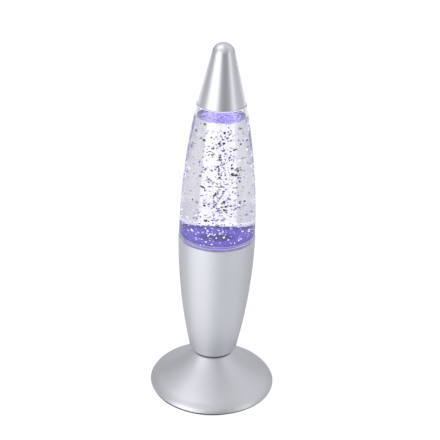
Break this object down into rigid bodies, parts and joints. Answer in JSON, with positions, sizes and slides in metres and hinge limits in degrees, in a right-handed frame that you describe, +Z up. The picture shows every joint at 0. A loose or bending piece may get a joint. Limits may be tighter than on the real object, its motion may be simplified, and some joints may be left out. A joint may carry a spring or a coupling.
{
  "type": "glitter lamp",
  "caption": "Table-top glitter lamp: a clear tapered vessel of glitter liquid lit from below, with a silver cone cap, tapered silver body and flared foot that holds the battery bay and switch.",
  "frame": {"origin": "on the table under the middle of the foot", "axes": "+Z up through the tip of the cap, +X along the battery cells, -Y towards the viewer of the picture, over the switch"},
  "size_m": [0.1062, 0.1062, 0.3],
  "materials": {
    "silver_cap": "glossy silver lacquer",
    "silver_body": "satin silver lacquer",
    "clear_vessel": "clear moulded plastic",
    "clear_liquid": "clear liquid lit violet from below",
    "glitter_foil": "violet metal foil",
    "frosted_plug": "frosted plastic lit from behind",
    "soft_rubber": "matte rubber",
    "white_plastic": "white moulded plastic",
    "board_green": "solder mask",
    "diode_lens": "lit diode lens",
    "black_plastic": "black moulded plastic",
    "zinc_screw": "zinc-plated steel",
    "nickel_contact": "nickel-plated spring steel",
    "cell_wrapper": "plain wrapper",
    "grey_plastic": "light grey moulded plastic",
    "red_lead": "insulated wire",
    "black_lead": "insulated wire"
  },
  "bodies": {
    "lamp": {"stopper": "soft_rubber", "vessel": "clear_vessel", "liquid": "clear_liquid", "glitter_flakes": "glitter_foil", "vessel_plug": "frosted_plug", "plug_seal": "soft_rubber", "reflector": "white_plastic", "light_board": "board_green", "diodes": "diode_lens", "board_chip": "black_plastic", "board_screws": "zinc_screw", "body_shell": "silver_body", "neck_screws": "zinc_screw", "foot_shell": "silver_body", "base_plate": "grey_plastic", "base_screws": "zinc_screw", "rubber_feet": "soft_rubber", "battery_cells": "cell_wrapper", "contact_positive": "nickel_contact", "contact_negative": "nickel_contact", "contact_bridges": "nickel_contact", "contact_springs": "nickel_contact", "switch_housing": "nickel_contact", "switch_screws": "zinc_screw", "lead_battery_switch": "red_lead", "lead_switch_board": "red_lead", "lead_battery_board": "black_lead"},
    "cap": {"cap": "silver_cap"},
    "door": {"battery_door": "grey_plastic", "door_screw": "zinc_screw"},
    "slider": {"switch_slider": "black_plastic"}
  },
  "joints": [
    {"name": "cap_lift", "type": "slide", "parent": "lamp", "child": "cap", "axis": [0, 0, 1], "range_m": [0, 0.04]},
    {"name": "door_hinge", "type": "hinge", "parent": "lamp", "child": "door", "pos_m": [0, -0.01705, 0.0014], "axis": [-1, 0, 0], "range_deg": [0, 100]},
    {"name": "power_switch", "type": "slide", "parent": "lamp", "child": "slider", "axis": [1, 0, 0], "range_m": [-0.004, 0]}
  ]
}
